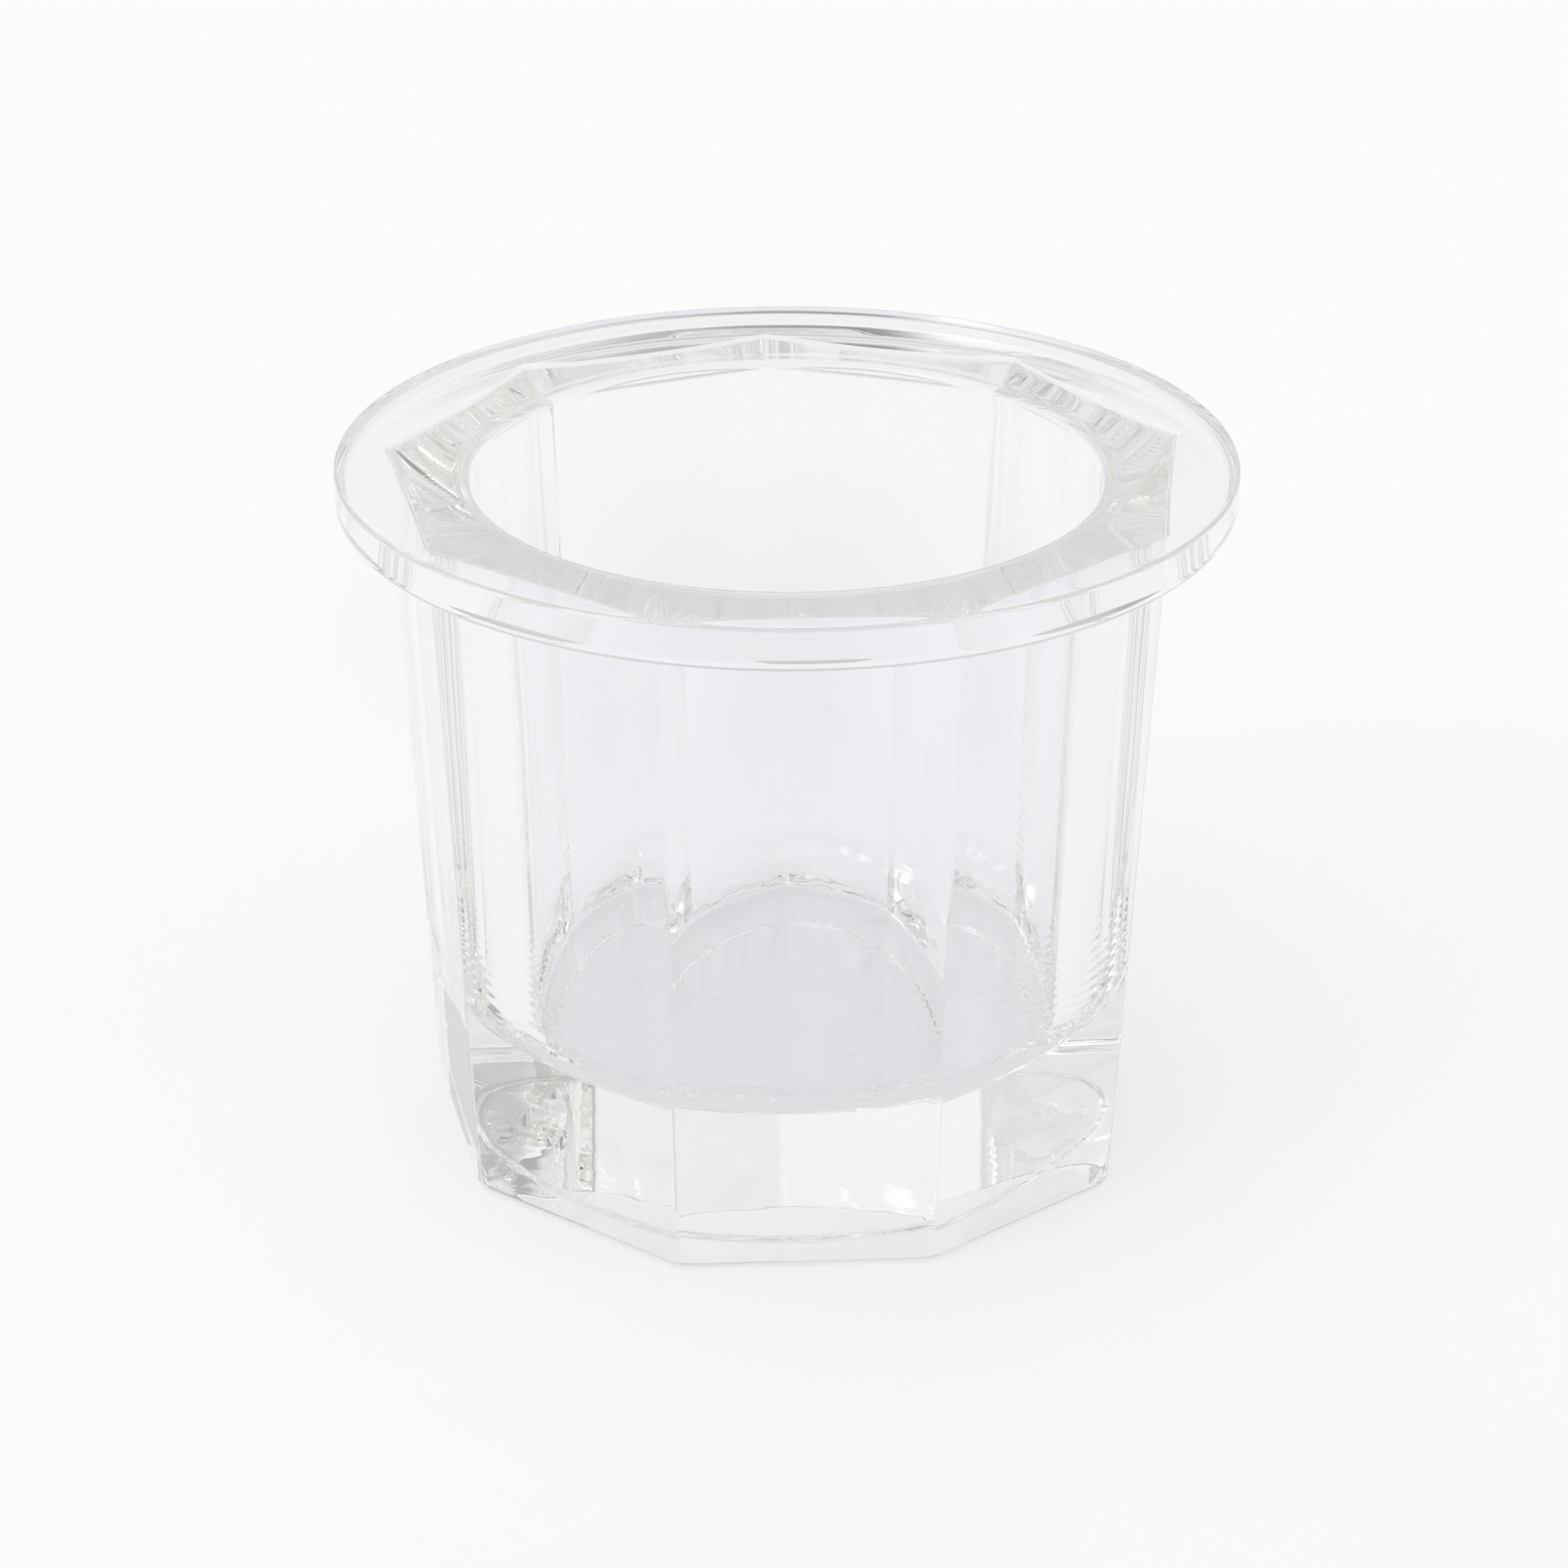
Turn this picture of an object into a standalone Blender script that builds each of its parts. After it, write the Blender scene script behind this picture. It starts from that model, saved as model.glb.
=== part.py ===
"""Tealight holder: one piece of clear pressed glass.

A thick-based cup with a nine-sided tapering body, a flat round rim that stands
proud of the body, and a round well for a tealight. Metres, +Z up. The origin is
at the centre of the foot, on the surface that the holder stands on, and the
middle of one facet faces -Y.
"""
import math

import bmesh
import bpy
from mathutils import Matrix

# Overall size
HEIGHT = 0.0569
RIM_DIAMETER = 0.070

# Rim: a disc with a soft lower edge and a crisper upper edge, dished towards the well
RIM_THICKNESS = 0.0036
RIM_UPPER_ROUND = 0.00035
RIM_LOWER_ROUND = 0.0012
RIM_DISH = 0.00125

# Body: a nine-sided taper, measured across its corners
FACETS = 9
FOOT_CORNER_RADIUS = 0.0291
NECK_CORNER_RADIUS = 0.0317
CORNER_BEVEL = 0.0003
FOOT_BEVEL = 0.0010

# Well: round, slightly tapered, with a rounded lip and a filleted floor
MOUTH_RADIUS = 0.0245
WELL_FLOOR_RADIUS = 0.0235
BASE_THICKNESS = 0.0113
LIP_ROUND = 0.0007
FLOOR_FILLET = 0.0044

# Underside: a shallow recess inside the bearing ring
RECESS_RADIUS = 0.0203
RECESS_DEPTH = 0.00025

# Mesh
TURNED_SEGMENTS = 72
ARC_STEPS = 4
FILLET_STEPS = 8
DISH_STEPS = 6
BEVEL_STEPS = 2
CUT_MARGIN = 0.002

GLASS_COLOR = (0.93, 0.95, 0.94, 1.0)
GLASS_ROUGHNESS = 0.02
GLASS_IOR = 1.5


def clear_scene():
    """Start from an empty scene."""
    for item in list(bpy.data.objects):
        bpy.data.objects.remove(item, do_unlink=True)


def glass_material():
    """Clear soda-lime glass with a faint green cast."""
    material = bpy.data.materials.new("clear_glass")
    material.use_nodes = True
    shader = material.node_tree.nodes["Principled BSDF"]
    shader.inputs["Base Color"].default_value = GLASS_COLOR
    shader.inputs["Roughness"].default_value = GLASS_ROUGHNESS
    shader.inputs["Metallic"].default_value = 0.0
    shader.inputs["IOR"].default_value = GLASS_IOR
    shader.inputs["Transmission Weight"].default_value = 1.0
    return material


def arc(centre_r, centre_z, radius, start_deg, end_deg, steps=ARC_STEPS):
    """Points (r, z) along an arc, both ends included."""
    angles = [start_deg + (end_deg - start_deg) * i / steps for i in range(steps + 1)]
    return [
        (centre_r + radius * math.cos(math.radians(a)), centre_z + radius * math.sin(math.radians(a)))
        for a in angles
    ]


def new_object(name, mesh_builder):
    """An object in the scene whose closed mesh is drawn by mesh_builder."""
    bm = bmesh.new()
    mesh_builder(bm)
    bmesh.ops.recalc_face_normals(bm, faces=bm.faces)
    mesh = bpy.data.meshes.new(name)
    bm.to_mesh(mesh)
    bm.free()
    item = bpy.data.objects.new(name, mesh)
    bpy.context.scene.collection.objects.link(item)
    return item


def turned(bm, profile):
    """Spin an (r, z) profile, which starts and ends on the axis, once around Z."""
    verts = [bm.verts.new((r, 0.0, z)) for r, z in profile]
    edges = [bm.edges.new(pair) for pair in zip(verts, verts[1:])]
    bmesh.ops.spin(
        bm,
        geom=verts + edges,
        cent=(0.0, 0.0, 0.0),
        axis=(0.0, 0.0, 1.0),
        angle=2.0 * math.pi,
        steps=TURNED_SEGMENTS,
    )
    bmesh.ops.remove_doubles(bm, verts=bm.verts, dist=1e-6)


def draw_body(bm):
    """The nine-sided taper, from the foot to the middle of the rim."""
    slope = (NECK_CORNER_RADIUS - FOOT_CORNER_RADIUS) / (HEIGHT - RIM_THICKNESS)
    top = HEIGHT - RIM_THICKNESS / 2.0
    bmesh.ops.create_cone(
        bm,
        cap_ends=True,
        segments=FACETS,
        radius1=FOOT_CORNER_RADIUS,
        radius2=FOOT_CORNER_RADIUS + slope * top,
        depth=top,
    )
    bmesh.ops.translate(bm, verts=bm.verts, vec=(0.0, 0.0, top / 2.0))
    turn_facet_to_front(bm)
    upright = [e for e in bm.edges if abs(e.verts[0].co.z - e.verts[1].co.z) > top / 2.0]
    bmesh.ops.bevel(
        bm, geom=upright, offset=CORNER_BEVEL, segments=BEVEL_STEPS, profile=0.5, affect="EDGES"
    )
    foot = [e for e in bm.edges if max(v.co.z for v in e.verts) < CUT_MARGIN]
    bmesh.ops.bevel(
        bm, geom=foot, offset=FOOT_BEVEL, segments=BEVEL_STEPS, profile=0.5, affect="EDGES"
    )


def turn_facet_to_front(bm):
    """Turn the body about Z until one corner faces +Y, and so a facet faces -Y."""
    corner = max(bm.verts, key=lambda v: v.co.y)
    heading = math.atan2(corner.co.y, corner.co.x)
    rotation = Matrix.Rotation(math.pi / 2.0 - heading, 3, "Z")
    bmesh.ops.rotate(bm, verts=bm.verts, cent=(0.0, 0.0, 0.0), matrix=rotation)


def dish(steps=DISH_STEPS):
    """Points (r, z) down the rim's top, which steepens from its outer edge to the well."""
    outer = RIM_DIAMETER / 2.0 - RIM_UPPER_ROUND
    inner = MOUTH_RADIUS
    shares = [i / steps for i in range(1, steps + 1)]
    return [(outer + (inner - outer) * t, HEIGHT - RIM_DISH * t * t) for t in shares]


def draw_rim(bm):
    """The round rim, as a dished disc with two rounded edges."""
    radius = RIM_DIAMETER / 2.0
    under = HEIGHT - RIM_THICKNESS
    profile = [(0.0, under)]
    profile += arc(radius - RIM_LOWER_ROUND, under + RIM_LOWER_ROUND, RIM_LOWER_ROUND, -90.0, 0.0)
    profile += arc(radius - RIM_UPPER_ROUND, HEIGHT - RIM_UPPER_ROUND, RIM_UPPER_ROUND, 0.0, 90.0, 2)
    profile += dish()
    profile += [(0.0, HEIGHT - RIM_DISH)]
    turned(bm, profile)


def draw_well(bm):
    """The space that is cut out for the tealight, flared at the lip."""
    floor = BASE_THICKNESS
    flat_radius = WELL_FLOOR_RADIUS - FLOOR_FILLET
    lip_z = HEIGHT - RIM_DISH - LIP_ROUND
    profile = [(0.0, floor)]
    profile += arc(flat_radius, floor + FLOOR_FILLET, FLOOR_FILLET, -90.0, 0.0, FILLET_STEPS)
    profile += arc(MOUTH_RADIUS + LIP_ROUND, lip_z, LIP_ROUND, 180.0, 90.0, 3)
    profile += [(MOUTH_RADIUS + LIP_ROUND, HEIGHT + CUT_MARGIN), (0.0, HEIGHT + CUT_MARGIN)]
    turned(bm, profile)


def draw_recess(bm):
    """The shallow hollow in the underside."""
    outer = RECESS_RADIUS + RECESS_DEPTH
    turned(
        bm,
        [
            (0.0, RECESS_DEPTH),
            (RECESS_RADIUS, RECESS_DEPTH),
            (outer, 0.0),
            (outer, -CUT_MARGIN),
            (0.0, -CUT_MARGIN),
        ],
    )


def combine(base, tool, operation):
    """Join tool to base, or cut it away, and remove the tool."""
    step = base.modifiers.new(operation.lower(), "BOOLEAN")
    step.operation = operation
    step.solver = "EXACT"
    step.object = tool
    graph = bpy.context.evaluated_depsgraph_get()
    result = bpy.data.meshes.new_from_object(base.evaluated_get(graph))
    base.modifiers.remove(step)
    base.data = result
    bpy.data.objects.remove(tool, do_unlink=True)


def build_holder():
    """The whole holder, as one closed glass body."""
    holder = new_object("glass_holder", draw_body)
    combine(holder, new_object("rim", draw_rim), "UNION")
    combine(holder, new_object("well", draw_well), "DIFFERENCE")
    combine(holder, new_object("recess", draw_recess), "DIFFERENCE")
    holder.data.name = "glass_holder"
    holder.data.materials.clear()
    holder.data.materials.append(glass_material())
    holder.data.shade_smooth()
    holder.data.set_sharp_from_angle(angle=math.radians(30.0))
    return holder


clear_scene()
build_holder()
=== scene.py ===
import math

import bmesh
import bpy
from mathutils import Matrix, Vector, noise


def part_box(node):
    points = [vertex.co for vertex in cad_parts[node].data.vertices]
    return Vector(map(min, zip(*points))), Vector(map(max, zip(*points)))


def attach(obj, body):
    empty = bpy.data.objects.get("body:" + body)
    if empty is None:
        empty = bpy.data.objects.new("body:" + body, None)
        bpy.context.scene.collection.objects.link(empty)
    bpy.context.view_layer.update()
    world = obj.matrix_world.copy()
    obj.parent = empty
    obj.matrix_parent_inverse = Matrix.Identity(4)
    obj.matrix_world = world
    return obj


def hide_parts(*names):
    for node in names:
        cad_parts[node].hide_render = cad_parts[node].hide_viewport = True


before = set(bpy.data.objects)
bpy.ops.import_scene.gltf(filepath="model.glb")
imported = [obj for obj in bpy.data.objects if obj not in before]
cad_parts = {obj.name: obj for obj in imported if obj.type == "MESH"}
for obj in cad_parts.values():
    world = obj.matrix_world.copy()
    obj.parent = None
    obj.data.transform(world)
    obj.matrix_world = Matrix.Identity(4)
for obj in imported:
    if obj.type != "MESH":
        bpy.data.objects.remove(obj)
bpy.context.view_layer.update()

NODE_LOW, NODE_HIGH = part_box("glass_holder")

MM = 0.001

# Overall size, from the frame. The skin stays this far inside it, for the waves.
SKIN = 0.02 * MM
RIM_RADIUS = (NODE_HIGH.x - NODE_LOW.x) / 2.0 - SKIN
TOP = NODE_HIGH.z - SKIN
FOOT = NODE_LOW.z

# Rim: dished towards the well, with a soft lower edge and a crisper upper edge.
# The neck fillet is where the body meets the rim's underside.
RIM_THICKNESS = 3.6 * MM
RIM_UPPER_ROUND = 0.35 * MM
RIM_LOWER_ROUND = 1.2 * MM
RIM_DISH = 1.25 * MM
NECK_FILLET = 0.4 * MM

# Nine-sided taper, measured from the axis to its corners, which soften towards the foot
FACETS = 9
FACET_TURN = 2.0 * math.pi / FACETS
FOOT_CORNER_RADIUS = 29.1 * MM
NECK_CORNER_RADIUS = 31.7 * MM
CORNER_ROUND = 0.7 * MM
FOOT_CORNER_ROUND = 3.2 * MM
FOOT_SOFT_HEIGHT = 4.5 * MM
FOOT_ROUND_WIDTH = 1.8 * MM
FOOT_ROUND_HEIGHT = 0.8 * MM
SIDE_START = FOOT_ROUND_HEIGHT * 1.3

# One corner of the foot is pressed out past the others
SPREAD_CORNER = 6
SPREAD = Vector((-0.5, -2.4, 0.0)) * MM
SPREAD_HEIGHT = 5.0 * MM

# Well: round, slightly tapered, with a rounded lip and a wide fillet at its floor.
# The lip's round starts a little outside its top, to meet the slope of the dished rim.
MOUTH_RADIUS = 24.5 * MM
WELL_FLOOR_RADIUS = 23.5 * MM
WELL_FLOOR = 11.3 * MM
LIP_ROUND = 0.7 * MM
LIP_START = 78.0
FLOOR_FILLET = 4.4 * MM

# Underside: a shallow recess with an uneven edge, inside the bearing ring
RECESS_RADIUS = 20.3 * MM
RECESS_DEPTH = 0.25 * MM
RECESS_EDGE = 0.9 * MM
RING_INNER_RADIUS = RECESS_RADIUS + 1.2 * MM

# Tool marks: fine rings round the lower part of the well
RIPPLE_PITCH = 0.85 * MM
RIPPLE_HEIGHT = 0.018 * MM
RIPPLE_TOP = WELL_FLOOR + 15.0 * MM
RIPPLE_FULL = WELL_FLOOR + 5.0 * MM
RIPPLE_STEP = 0.13 * MM

# How far apart the mesh's rings are, where nothing finer is needed
UNDERSIDE_STEP = 1.0 * MM
SIDE_STEP = 0.8 * MM
WELL_STEP = 0.7 * MM
INNERMOST_RING = 1.0 * MM
RECESS_EDGE_RINGS = 10
RIM_TOP_RINGS = 26


def facet_angles():
    """Angles across one facet, from corner to corner, crowded towards the corners."""
    corner = [0.0, 0.15, 0.3, 0.45, 0.6, 0.8, 1.05, 1.35, 1.7, 2.2, 2.8, 3.6]
    half = corner + [4.6 + 1.1 * i for i in range(15)]
    other = [40.0 - a for a in reversed(half[1:-1])]
    return [math.radians(a) for a in half + other]


ANGLES = [math.pi / 2.0 + FACET_TURN * k + a for k in range(FACETS) for a in facet_angles()]


def smooth(value, low, high):
    """0 below low, 1 above high, and a smooth step between."""
    t = min(max((value - low) / (high - low), 0.0), 1.0)
    return t * t * (3.0 - 2.0 * t)


def polygon_radius(angle, corner_radius, rounding):
    """Distance from the axis to a nine-sided outline with rounded corners."""
    half = FACET_TURN / 2.0
    turn = (angle - math.pi / 2.0) % FACET_TURN
    off = min(turn, FACET_TURN - turn)
    apothem = corner_radius * math.cos(half)
    centre = (apothem - rounding) / math.cos(half)
    tangent = math.atan2(rounding * math.sin(half), centre + rounding * math.cos(half))
    if off < tangent:
        return centre * math.cos(off) + math.sqrt(rounding**2 - (centre * math.sin(off)) ** 2)
    return apothem / math.cos(half - off)


def spread_share(angle, z):
    """1 at the foot's pressed-out corner, 0 at its two neighbours and higher up."""
    off = abs(angle - math.pi / 2.0 - SPREAD_CORNER * FACET_TURN)
    height = max(0.0, 1.0 - z / SPREAD_HEIGHT)
    return max(0.0, 1.0 - off / FACET_TURN) * height**2


def arc(centre_r, centre_z, radius, start_deg, end_deg, steps):
    """Points (r, z) along an arc, both ends included."""
    angles = [start_deg + (end_deg - start_deg) * i / steps for i in range(steps + 1)]
    return [
        (centre_r + radius * math.cos(math.radians(a)), centre_z + radius * math.sin(math.radians(a)))
        for a in angles
    ]


def steps_between(low, high, step):
    """Even steps from low to high, both ends included, none longer than step."""
    count = max(1, math.ceil(abs(high - low) / step))
    return [low + (high - low) * i / count for i in range(count + 1)]


class Rings:
    """Rings of points, each with the zone of the glass that it belongs to."""

    def __init__(self):
        self.rows = []

    def round(self, zone, radius, z):
        points = [Vector((radius * math.cos(a), radius * math.sin(a), z)) for a in ANGLES]
        self.rows.append((zone, points))

    def sided(self, zone, corner_radius, z, rounding):
        radii = [polygon_radius(a, corner_radius, rounding) for a in ANGLES]
        points = [Vector((r * math.cos(a), r * math.sin(a), z)) for r, a in zip(radii, ANGLES)]
        points = [p + SPREAD * spread_share(a, z) for p, a in zip(points, ANGLES)]
        self.rows.append((zone, points))


def draw_underside(rings):
    for r in steps_between(INNERMOST_RING, RECESS_RADIUS - RECESS_EDGE, UNDERSIDE_STEP):
        rings.round("recess", r, RECESS_DEPTH)
    for i in range(RECESS_EDGE_RINGS + 1):
        t = i / RECESS_EDGE_RINGS
        r = RECESS_RADIUS + RECESS_EDGE * (t - 0.5)
        rings.round("recess_edge", r, RECESS_DEPTH * (1.0 - smooth(t, 0.0, 1.0)))
    rings.round("foot", RING_INNER_RADIUS, FOOT)


def corner_rounding(z):
    """The body's corners are crisp, and soften over the last few millimetres."""
    share = max(0.0, 1.0 - z / FOOT_SOFT_HEIGHT)
    return CORNER_ROUND + (FOOT_CORNER_ROUND - CORNER_ROUND) * share**2


def draw_body(rings):
    under = TOP - RIM_THICKNESS
    slope = (NECK_CORNER_RADIUS - FOOT_CORNER_RADIUS) / under
    rings.sided("foot", FOOT_CORNER_RADIUS - FOOT_ROUND_WIDTH - 0.5 * MM, FOOT, corner_rounding(0.0))
    for across, up in arc(0.0, 0.0, 1.0, -90.0, 0.0, 14):
        r = FOOT_CORNER_RADIUS + FOOT_ROUND_WIDTH * (across - 1.0)
        z = FOOT_ROUND_HEIGHT * (up + 1.0)
        rings.sided("foot_edge", r + slope * z, z, corner_rounding(z))
    for z in steps_between(SIDE_START, under - NECK_FILLET * 1.2, SIDE_STEP):
        rings.sided("side", FOOT_CORNER_RADIUS + slope * z, z, corner_rounding(z))
    neck = FOOT_CORNER_RADIUS + slope * (under - NECK_FILLET)
    for r, z in arc(neck + NECK_FILLET, under - NECK_FILLET, NECK_FILLET, 180.0, 90.0, 8)[1:]:
        rings.sided("neck", r, z, CORNER_ROUND)


def draw_rim(rings):
    under = TOP - RIM_THICKNESS
    rings.round("rim_under", NECK_CORNER_RADIUS + 1.0 * MM, under)
    rings.round("rim_under", RIM_RADIUS - RIM_LOWER_ROUND - 0.4 * MM, under)
    for r, z in arc(RIM_RADIUS - RIM_LOWER_ROUND, under + RIM_LOWER_ROUND, RIM_LOWER_ROUND, -90.0, 0.0, 10):
        rings.round("rim_edge", r, z)
    for r, z in arc(RIM_RADIUS - RIM_UPPER_ROUND, TOP - RIM_UPPER_ROUND, RIM_UPPER_ROUND, 0.0, 90.0, 6):
        rings.round("rim_edge", r, z)
    inner = MOUTH_RADIUS + LIP_ROUND
    outer = RIM_RADIUS - RIM_UPPER_ROUND
    for i in range(1, RIM_TOP_RINGS):
        t = i / RIM_TOP_RINGS
        rings.round("rim_top", outer + (inner - outer) * t, TOP - RIM_DISH * t * t)


def draw_well(rings):
    lip_z = TOP - RIM_DISH - LIP_ROUND
    for r, z in arc(MOUTH_RADIUS + LIP_ROUND, lip_z, LIP_ROUND, LIP_START, 180.0, 8):
        rings.round("lip", r, z)
    wall_low = WELL_FLOOR + FLOOR_FILLET
    slope = (MOUTH_RADIUS - WELL_FLOOR_RADIUS) / (lip_z - wall_low)
    heights = steps_between(lip_z, RIPPLE_TOP, WELL_STEP)[:-1]
    heights += steps_between(RIPPLE_TOP, wall_low, RIPPLE_STEP)
    for z in heights[1:-1]:
        rings.round("wall", WELL_FLOOR_RADIUS + slope * (z - wall_low), z)
    flat = WELL_FLOOR_RADIUS - FLOOR_FILLET
    for r, z in arc(flat, wall_low, FLOOR_FILLET, 0.0, -90.0, 48):
        rings.round("wall", r, z)
    for r in steps_between(flat, INNERMOST_RING, WELL_STEP)[1:]:
        rings.round("well_floor", r, WELL_FLOOR)


# Waves in each zone: height in mm, wavelength in mm, and how far they are drawn out upright
WAVES = {
    "side": [(0.030, 9.0, 3.0), (0.006, 2.8, 6.0), (0.0015, 1.1, 12.0)],
    "foot_edge": [(0.030, 6.0, 1.0), (0.008, 1.8, 1.0)],
    "rim_under": [(0.015, 6.0, 1.0)],
    "rim_edge": [(0.012, 9.0, 1.0), (0.003, 2.5, 1.0)],
    "rim_top": [(0.014, 12.0, 1.0), (0.004, 3.5, 1.0)],
    "lip": [(0.012, 8.0, 1.0)],
    "wall": [(0.030, 10.0, 2.5), (0.008, 2.6, 3.0), (0.002, 1.2, 8.0)],
    "well_floor": [(0.012, 8.0, 1.0)],
    "recess": [(0.014, 6.0, 1.0), (0.006, 1.7, 1.0)],
}


def wave(zone, point):
    """How far the pressed surface strays from its drawn shape at a point."""
    total = 0.0
    for height, length, draw in WAVES.get(zone, []):
        at = Vector((point.x, point.y, point.z / draw)) / (length * MM)
        total += height * MM * noise.noise(at)
    return total


def ripple(point):
    """The tool marks in the lower part of the well."""
    fade = 1.0 - smooth(point.z, RIPPLE_FULL, RIPPLE_TOP)
    if fade == 0.0:
        return 0.0
    patch = 0.6 + 0.8 * noise.noise(point / (7.0 * MM))
    shift = 1.5 * noise.noise(Vector((point.x, point.y, 0.4 * point.z)) / (5.0 * MM))
    return RIPPLE_HEIGHT * fade * patch * math.sin(math.tau * (point.z / RIPPLE_PITCH + shift))


def uneven_edge(point):
    """How far the recess's edge wanders in or out, as if cut into the mould by hand."""
    turn = Vector((point.x, point.y, 0.0))
    move = 0.22 * MM * noise.noise(turn / (2.2 * MM)) + 0.10 * MM * noise.noise(turn / (0.8 * MM))
    return turn.normalized() * move


def stray(mesh, zones):
    """Move each vertex along its normal by its zone's waves, and the recess's edge sideways."""
    normals = [v.normal.copy() for v in mesh.vertices]
    for vertex, zone, normal in zip(mesh.vertices, zones, normals):
        point = vertex.co.copy()
        if zone == "recess_edge":
            vertex.co = point + uneven_edge(point)
            continue
        move = wave(zone, point)
        if zone == "wall":
            move += ripple(point)
        vertex.co = point + normal * move
        vertex.co.z = min(max(vertex.co.z, FOOT), NODE_HIGH.z)


def build_holder():
    rings = Rings()
    draw_underside(rings)
    draw_body(rings)
    draw_rim(rings)
    draw_well(rings)
    bm = bmesh.new()
    rows = [[bm.verts.new(p) for p in points] for zone, points in rings.rows]
    zones = [zone for zone, points in rings.rows for p in points]
    count = len(ANGLES)
    for low, high in zip(rows, rows[1:]):
        for i in range(count):
            j = (i + 1) % count
            bm.faces.new((low[i], low[j], high[j], high[i]))
    under = bm.verts.new((0.0, 0.0, RECESS_DEPTH))
    floor = bm.verts.new((0.0, 0.0, WELL_FLOOR))
    zones += ["recess", "well_floor"]
    for i in range(count):
        j = (i + 1) % count
        bm.faces.new((under, rows[0][j], rows[0][i]))
        bm.faces.new((floor, rows[-1][i], rows[-1][j]))
    bmesh.ops.recalc_face_normals(bm, faces=bm.faces)
    mesh = bpy.data.meshes.new("pressed_glass_holder")
    bm.to_mesh(mesh)
    bm.free()
    stray(mesh, zones)
    mesh.shade_smooth()
    piece = bpy.data.objects.new("pressed_glass_holder", mesh)
    bpy.context.scene.collection.objects.link(piece)
    return piece


def glass():
    """Clear soda-lime glass: faintly lavender where thin, green-grey where deep."""
    material = bpy.data.materials.new("clear_pressed_glass")
    material.use_nodes = True
    tree = material.node_tree
    shader = tree.nodes["Principled BSDF"]
    shader.inputs["Base Color"].default_value = (0.961, 0.959, 0.982, 1.0)
    shader.inputs["Roughness"].default_value = 0.0
    shader.inputs["IOR"].default_value = 1.5
    shader.inputs["Transmission Weight"].default_value = 1.0
    body = tree.nodes.new("ShaderNodeVolumeAbsorption")
    body.inputs["Color"].default_value = (0.50, 0.65, 0.35, 1.0)
    body.inputs["Density"].default_value = 1.0
    tree.links.new(body.outputs["Volume"], tree.nodes["Material Output"].inputs["Volume"])
    return material


def camera():
    """Matched to the photograph's viewing angle."""
    data = bpy.data.cameras.new("camera")
    data.sensor_width = 36.0
    data.lens = 96.06
    data.clip_start, data.clip_end = 0.01, 20.0
    item = bpy.data.objects.new("camera", data)
    distance, height_angle, aim = 0.337, 0.4487, 0.026
    pitch, yaw, roll, turn = -0.4422, 0.0006, -0.0017, math.radians(-3.32)
    place = Vector((0.0, -distance * math.cos(height_angle), distance * math.sin(height_angle) + aim))
    look = Matrix.Rotation(yaw, 3, "Z") @ Matrix.Rotation(pitch, 3, "X") @ Matrix.Rotation(roll, 3, "Y")
    right, ahead, up = look.col
    basis = Matrix((right, up, -ahead)).transposed()
    spin = Matrix.Rotation(turn, 3, "Z")
    item.matrix_world = Matrix.Translation(spin @ place) @ (spin @ basis).to_4x4()
    bpy.context.scene.collection.objects.link(item)
    bpy.context.scene.camera = item


def heading(azimuth, elevation):
    """Direction to a point in the surroundings: 0 is behind the holder, 90 to its right."""
    a, e = math.radians(azimuth), math.radians(elevation)
    return Vector((math.cos(e) * math.sin(a), math.cos(e) * math.cos(a), math.sin(e)))


# Light on the studio's walls and ceiling: soft pools on an even grey. Each is its
# azimuth, elevation, half-angle and how far its edge fades either way, all in degrees,
# and how much brighter or darker it is than the grey.
WALL_LIGHT = 0.44
WALL_TINT = (1.0, 1.0, 0.98)
POOLS = [
    (244.0, 10.0, 21.0, 15.0, 0.57),  # soft light to the left, slightly in front
    (220.0, 54.0, 24.0, 18.0, 0.57),  # its upper part
    (109.0, 27.0, 24.0, 15.0, 0.33),  # soft light to the right
    (351.0, 54.0, 34.0, 12.0, 0.37),  # soft light high behind
    (8.0, 12.0, 29.0, 11.0, 0.19),  # soft light low behind
    (174.0, 47.0, 21.0, 14.0, 0.37),  # soft light above the camera
    (191.0, 12.0, 24.0, 12.0, -0.28),  # darker stretch behind the camera
    (304.0, 46.0, 26.0, 20.0, 0.18),  # soft light between the two high ones
    (3.0, 66.0, 25.0, 17.0, -0.24),  # darker gap overhead
    (236.0, 34.0, 7.0, 2.0, 3.0),  # small bright lamp, for the highlights
]

# The floor glows, and has painted shade in a few soft stretches around the holder, where its glow is a
# little dimmer.
# Each of them is x, y, radius and how far its edge fades either way, all in metres,
# then how much dimmer it is.
FLOOR_GLOW = 0.59
FLOOR_PAINTED_SHADE = [
    (0.112, -0.126, 0.067, 0.050, -0.05),
    (-0.043, -0.169, 0.075, 0.050, -0.06),
    (0.173, -0.010, 0.073, 0.060, -0.05),
    (0.0, 0.105, 0.035, 0.025, -0.06),
]


def add_up(tree, parts, start):
    """One socket with the sum of all the parts' sockets and a starting value."""
    total = None
    for part in parts:
        add = tree.nodes.new("ShaderNodeMath")
        add.operation = "ADD"
        add.inputs[1].default_value = start
        tree.links.new(part, add.inputs[0])
        if total is not None:
            tree.links.new(total, add.inputs[1])
        total = add.outputs["Value"]
    return total


def soft_step(tree, value, low, high, level):
    """0 where the value is below low, level where it is above high, smooth between."""
    ramp = tree.nodes.new("ShaderNodeMapRange")
    ramp.interpolation_type = "SMOOTHSTEP"
    ramp.inputs["From Min"].default_value = low
    ramp.inputs["From Max"].default_value = high
    ramp.inputs["To Min"].default_value = 0.0
    ramp.inputs["To Max"].default_value = level
    tree.links.new(value, ramp.inputs["Value"])
    return ramp.outputs["Result"]


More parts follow.
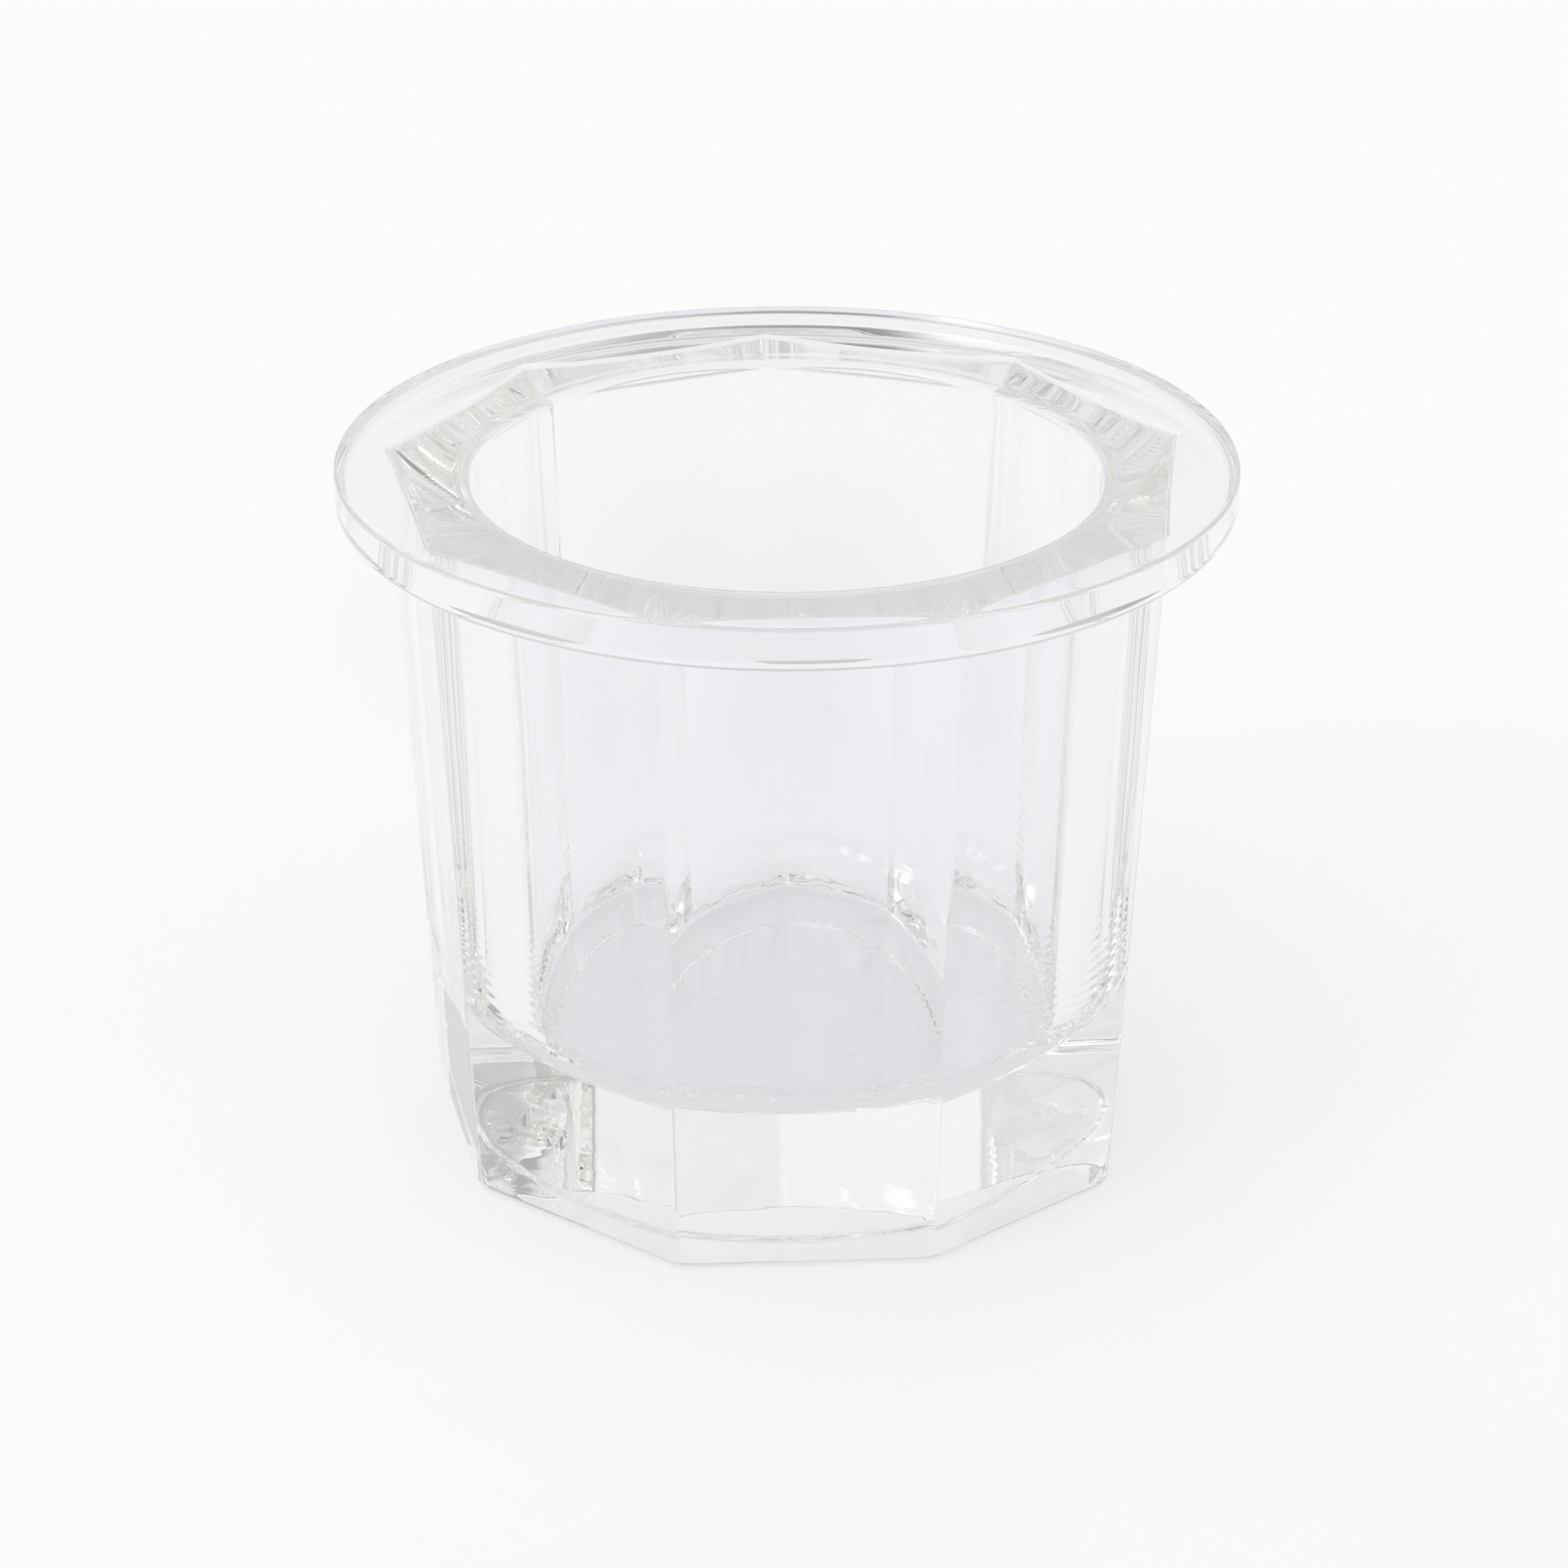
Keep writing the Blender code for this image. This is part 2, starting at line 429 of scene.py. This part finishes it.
def studio():
    """Soft light all round, in pools on an even grey."""
    world = bpy.data.worlds.new("studio")
    world.use_nodes = True
    bpy.context.scene.world = world
    tree = world.node_tree
    direction = tree.nodes.new("ShaderNodeTexCoord").outputs["Generated"]
    parts = []
    for azimuth, elevation, half, edge, level in POOLS:
        dot = tree.nodes.new("ShaderNodeVectorMath")
        dot.operation = "DOT_PRODUCT"
        dot.inputs[1].default_value = heading(azimuth, elevation)
        tree.links.new(direction, dot.inputs[0])
        outer = math.cos(math.radians(half + edge))
        inner = math.cos(math.radians(half - edge))
        parts.append(soft_step(tree, dot.outputs["Value"], outer, inner, level))
    back = tree.nodes["Background"]
    back.inputs["Color"].default_value = (*WALL_TINT, 1.0)
    tree.links.new(add_up(tree, parts, WALL_LIGHT), back.inputs["Strength"])


def pale_floor():
    """A plain pale floor, which glows, and a little less in the stretches of painted shade."""
    size, drop = 3.0, 0.02 * MM
    mesh = bpy.data.meshes.new("floor")
    corners = [(-size, -size), (size, -size), (size, size), (-size, size)]
    mesh.from_pydata([(x, y, FOOT - drop) for x, y in corners], [], [(0, 1, 2, 3)])
    floor = bpy.data.objects.new("floor", mesh)
    bpy.context.scene.collection.objects.link(floor)
    material = bpy.data.materials.new("pale_floor")
    material.use_nodes = True
    tree = material.node_tree
    shader = tree.nodes["Principled BSDF"]
    shader.inputs["Base Color"].default_value = (0.50, 0.50, 0.50, 1.0)
    shader.inputs["Roughness"].default_value = 1.0
    shader.inputs["Specular IOR Level"].default_value = 0.0
    shader.inputs["Emission Color"].default_value = (0.995, 0.995, 1.0, 1.0)
    place = tree.nodes.new("ShaderNodeTexCoord").outputs["Object"]
    parts = []
    # Painted shade on the floor: each soft stretch takes a little of the glow away.
    for x, y, radius, edge, depth in FLOOR_PAINTED_SHADE:
        apart = tree.nodes.new("ShaderNodeVectorMath")
        apart.operation = "DISTANCE"
        apart.inputs[1].default_value = (x, y, FOOT - drop)
        tree.links.new(place, apart.inputs[0])
        parts.append(soft_step(tree, apart.outputs["Value"], radius + edge, radius - edge, depth))
    tree.links.new(add_up(tree, parts, FLOOR_GLOW), shader.inputs["Emission Strength"])
    floor.data.materials.append(material)


def picture():
    """Plain tone curve, and enough bounces for light to find its way through the glass."""
    scene = bpy.context.scene
    scene.view_settings.view_transform = "Standard"
    scene.cycles.max_bounces = 40
    scene.cycles.transmission_bounces = 32
    scene.cycles.glossy_bounces = 32
    scene.cycles.diffuse_bounces = 4


piece = build_holder()
piece.data.materials.append(glass())
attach(piece, "root")
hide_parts("glass_holder")

camera()
studio()
pale_floor()
picture()
